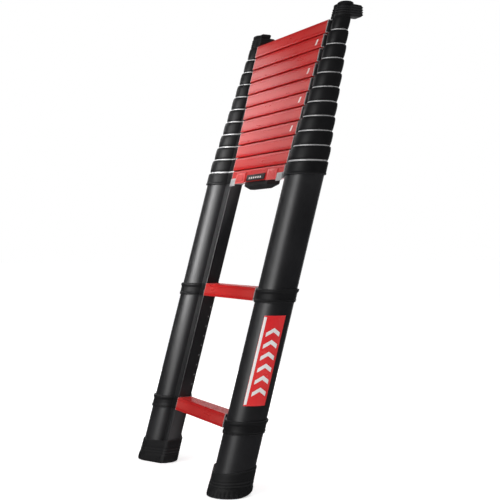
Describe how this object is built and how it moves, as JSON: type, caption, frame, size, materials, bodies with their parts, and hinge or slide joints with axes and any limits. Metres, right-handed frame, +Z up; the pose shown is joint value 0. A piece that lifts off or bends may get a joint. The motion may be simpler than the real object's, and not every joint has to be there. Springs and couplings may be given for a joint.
{
  "type": "telescoping ladder",
  "caption": "Single-pole telescoping ladder with red treads, black keyhole-section stiles, thumb releases, rubber feet and wall caps, closed and leaning.",
  "frame": {"origin": "middle of the bounding box's underside, on the floor between the feet", "axes": "+Z up, +X along the rungs towards the side with the label, +Y towards the wall the ladder leans on; the climber stands on the -Y side"},
  "size_m": [0.5358, 0.3746, 1.087],
  "materials": {
    "tube_paint": "satin black anodised aluminium",
    "rung_red": "satin red coated aluminium",
    "collar_plastic": "satin black glass-filled nylon",
    "cap_plastic": "matt black moulded plastic",
    "rubber": "matt black rubber",
    "slide_red": "semi-gloss red plastic",
    "label_red": "glossy red self-adhesive film",
    "bare_metal": "bare aluminium",
    "spring_steel": "bright spring wire"
  },
  "bodies": {
    "base": {"base_tube_right": "tube_paint", "base_tube_left": "tube_paint", "foot_right": "rubber", "foot_left": "rubber", "rung_01": "rung_red", "clamp_collar_01_right": "collar_plastic", "clamp_collar_01_left": "collar_plastic", "rung_02": "rung_red", "clamp_collar_02_right": "collar_plastic", "clamp_collar_02_left": "collar_plastic", "rung_03": "rung_red", "latch_collar_right": "collar_plastic", "latch_collar_left": "collar_plastic", "latch_plate": "collar_plastic", "carry_grip": "cap_plastic", "return_spring_right": "spring_steel", "return_spring_left": "spring_steel", "end_bracket_right": "bare_metal", "end_bracket_left": "bare_metal", "label_panel": "label_red"},
    "section_04": {"stile_04_right": "tube_paint", "stile_04_left": "tube_paint", "rung_04": "rung_red"},
    "section_05": {"stile_05_right": "tube_paint", "stile_05_left": "tube_paint", "rung_05": "rung_red"},
    "section_06": {"stile_06_right": "tube_paint", "stile_06_left": "tube_paint", "rung_06": "rung_red"},
    "section_07": {"stile_07_right": "tube_paint", "stile_07_left": "tube_paint", "rung_07": "rung_red"},
    "section_08": {"stile_08_right": "tube_paint", "stile_08_left": "tube_paint", "rung_08": "rung_red"},
    "section_09": {"stile_09_right": "tube_paint", "stile_09_left": "tube_paint", "rung_09": "rung_red"},
    "section_10": {"stile_10_right": "tube_paint", "stile_10_left": "tube_paint", "rung_10": "rung_red"},
    "section_11": {"stile_11_right": "tube_paint", "stile_11_left": "tube_paint", "rung_11": "rung_red"},
    "section_12": {"stile_12_right": "tube_paint", "stile_12_left": "tube_paint", "rung_12": "rung_red"},
    "section_13": {"stile_13_right": "tube_paint", "stile_13_left": "tube_paint", "rung_13": "rung_red", "wall_cap_right": "cap_plastic", "wall_cap_left": "cap_plastic"},
    "release_right": {"release_slide_right": "slide_red", "lock_pin_right": "bare_metal"},
    "release_left": {"release_slide_left": "slide_red", "lock_pin_left": "bare_metal"}
  },
  "joints": [
    {"name": "extend_04", "type": "slide", "parent": "base", "child": "section_04", "axis": [0, 0.2588, 0.9659], "range_m": [0, 0.2558]},
    {"name": "extend_05", "type": "slide", "parent": "section_04", "child": "section_05", "axis": [0, 0.2588, 0.9659], "range_m": [0, 0.2558]},
    {"name": "extend_06", "type": "slide", "parent": "section_05", "child": "section_06", "axis": [0, 0.2588, 0.9659], "range_m": [0, 0.2558]},
    {"name": "extend_07", "type": "slide", "parent": "section_06", "child": "section_07", "axis": [0, 0.2588, 0.9659], "range_m": [0, 0.2558]},
    {"name": "extend_08", "type": "slide", "parent": "section_07", "child": "section_08", "axis": [0, 0.2588, 0.9659], "range_m": [0, 0.2558]},
    {"name": "extend_09", "type": "slide", "parent": "section_08", "child": "section_09", "axis": [0, 0.2588, 0.9659], "range_m": [0, 0.2558]},
    {"name": "extend_10", "type": "slide", "parent": "section_09", "child": "section_10", "axis": [0, 0.2588, 0.9659], "range_m": [0, 0.2558]},
    {"name": "extend_11", "type": "slide", "parent": "section_10", "child": "section_11", "axis": [0, 0.2588, 0.9659], "range_m": [0, 0.2558]},
    {"name": "extend_12", "type": "slide", "parent": "section_11", "child": "section_12", "axis": [0, 0.2588, 0.9659], "range_m": [0, 0.2558]},
    {"name": "extend_13", "type": "slide", "parent": "section_12", "child": "section_13", "axis": [0, 0.2588, 0.9659], "range_m": [0, 0.2558]},
    {"name": "press_right", "type": "slide", "parent": "base", "child": "release_right", "axis": [-1, 0, 0], "range_m": [0, 0.01], "stiffness_N_per_m": 300},
    {"name": "press_left", "type": "slide", "parent": "base", "child": "release_left", "axis": [1, 0, 0], "range_m": [0, 0.01], "stiffness_N_per_m": 300}
  ]
}
